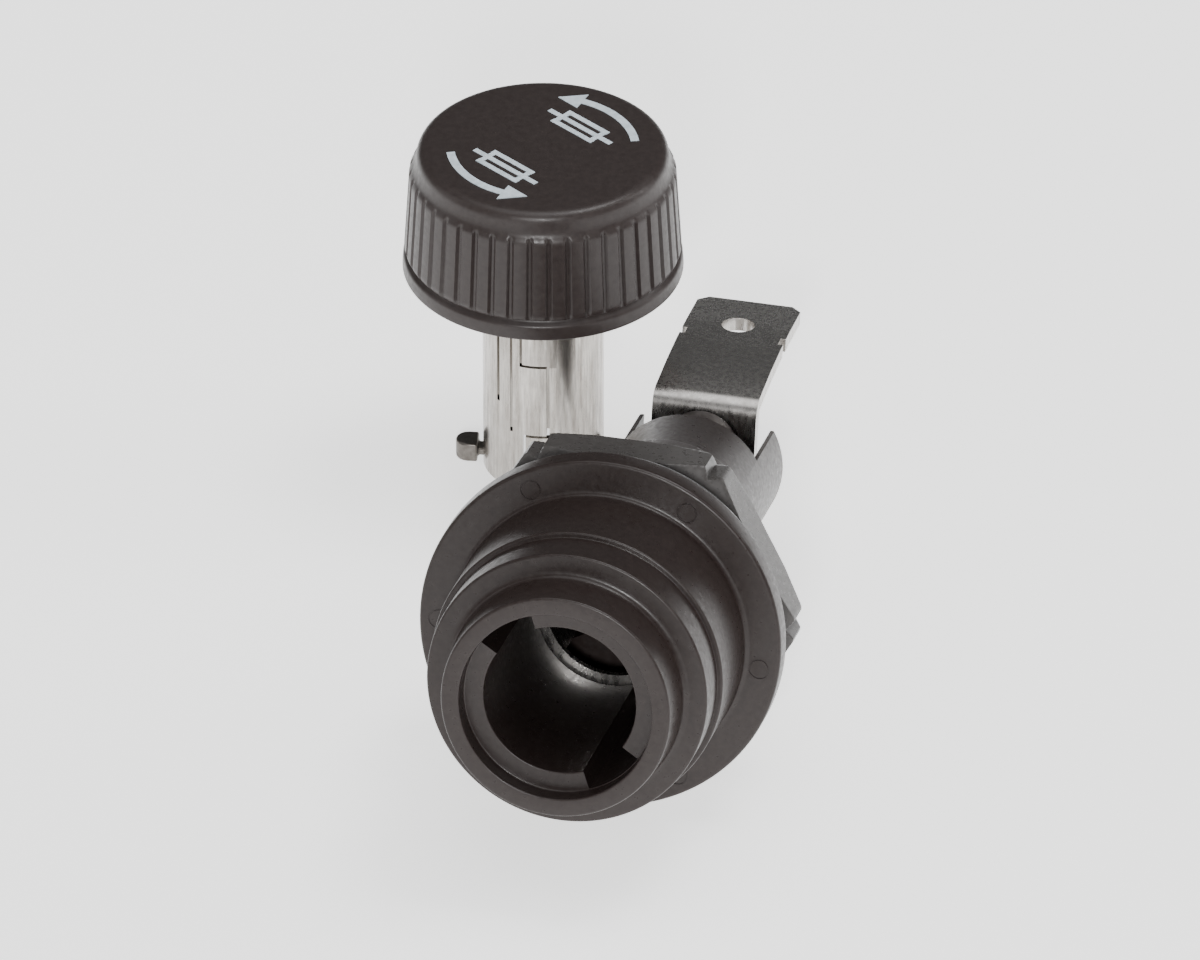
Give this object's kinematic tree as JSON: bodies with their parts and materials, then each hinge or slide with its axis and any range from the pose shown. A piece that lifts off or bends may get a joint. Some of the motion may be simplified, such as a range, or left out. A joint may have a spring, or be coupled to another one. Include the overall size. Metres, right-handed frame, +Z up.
{
  "type": "cartridge fuse holder",
  "caption": "Panel-mount holder for a cartridge fuse: flanged barrel with nut and blade terminals, and its ribbed bayonet cap with a metal sleeve standing beside it.",
  "frame": {"origin": "on the bench, at the centre of the footprint of the lying holder and the cap standing beside it", "axes": "+Z up; +Y from the holder's mouth end towards its rear terminal, seen from the front; +X to the right"},
  "size_m": [0.0238, 0.0556, 0.0224],
  "materials": {
    "phenolic": "semi-gloss moulded phenolic, brownish black",
    "nut_plastic": "glossy moulded plastic, black",
    "rubber": "matt black",
    "tin_plate": "tin-plated brass, satin",
    "nickel_plate": "nickel-plated brass, satin with lengthwise streaks",
    "zinc_steel": "zinc-plated steel",
    "spring_steel": "bright spring wire",
    "dark_steel": "dark, worn steel"
  },
  "bodies": {
    "holder": {"holder_body": "phenolic", "panel_gasket": "rubber", "side_contact": "tin_plate", "side_terminal": "tin_plate", "side_rivet": "tin_plate", "rear_terminal": "tin_plate", "rear_rivet": "tin_plate", "rear_washer": "tin_plate", "rear_spring": "spring_steel"},
    "washer": {"lock_washer": "zinc_steel"},
    "nut": {"hex_nut": "nut_plastic"},
    "rear_button": {"rear_contact": "tin_plate"},
    "carrier": {"spring_seat": "tin_plate", "cap_spring": "spring_steel"},
    "cap": {"cap_knob": "phenolic", "carrier_sleeve": "nickel_plate", "bayonet_pin_left": "dark_steel", "bayonet_pin_right": "dark_steel"},
    "cap_button": {"contact_cup": "tin_plate"}
  },
  "joints": [
    {"name": "nut_travel", "type": "slide", "parent": "holder", "child": "washer", "axis": [0.2208, 0.951, -0.2162], "range_m": [0, 0.0064]},
    {"name": "nut_spin", "type": "hinge", "parent": "washer", "child": "nut", "pos_m": [0.00104, -0.00965, 0.00965], "axis": [0.2208, 0.951, -0.2162], "range_deg": [0, 2180]},
    {"name": "rear_contact_press", "type": "slide", "parent": "holder", "child": "rear_button", "axis": [0.2208, 0.951, -0.2162], "range_m": [0, 0.0018], "stiffness_N_per_m": 1500, "deforming": ["rear_spring"]},
    {"name": "cap_lift", "type": "slide", "parent": "holder", "child": "carrier", "axis": [0, 0, 1], "range_m": [0, 0.017]},
    {"name": "cap_turn", "type": "hinge", "parent": "carrier", "child": "cap", "pos_m": [-0.00351, 0.01936, 0], "axis": [0, 0, 1], "range_deg": [0, 70]},
    {"name": "cap_button_press", "type": "slide", "parent": "carrier", "child": "cap_button", "axis": [0, 0, 1], "range_m": [0, 0.0032], "stiffness_N_per_m": 1500, "deforming": ["cap_spring"]}
  ],
  "couplings": [
    {"joint": "nut_spin", "follows": "nut_travel", "rad_per_m": 5938.8}
  ]
}
